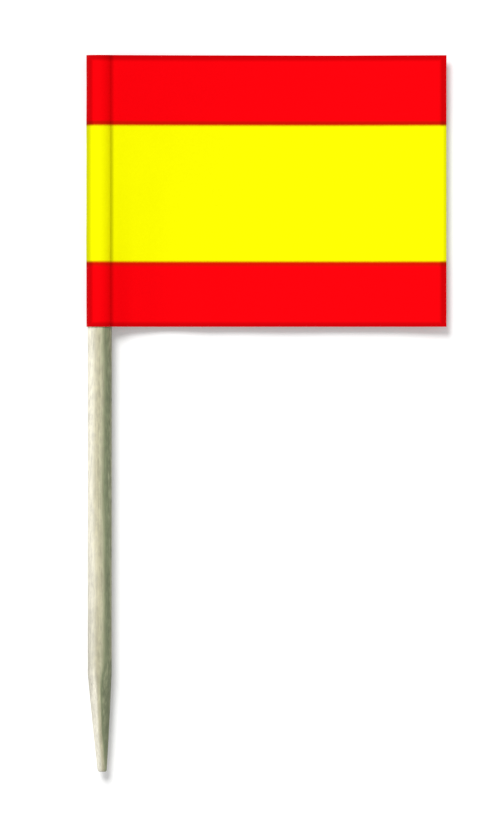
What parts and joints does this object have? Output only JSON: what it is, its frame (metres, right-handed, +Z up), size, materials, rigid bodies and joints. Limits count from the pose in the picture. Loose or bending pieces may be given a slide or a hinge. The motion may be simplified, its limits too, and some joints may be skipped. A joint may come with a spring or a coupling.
{
  "type": "flag toothpick",
  "caption": "Round wooden pick with a striped paper flag folded round its head and glued leaf to leaf; the point goes into food.",
  "frame": {"origin": "middle of the part's footprint, on the surface that it lies on", "axes": "+Y along the stick from the point to the flag's top edge, +X from the stick to the flag's free edge, +Z up from the surface"},
  "size_m": [0.0342, 0.0682, 0.0025],
  "materials": {
    "birch_wood": "matte",
    "printed_paper": "satin"
  },
  "bodies": {
    "root": {"toothpick": "birch_wood", "flag_paper": "printed_paper"}
  },
  "joints": []
}
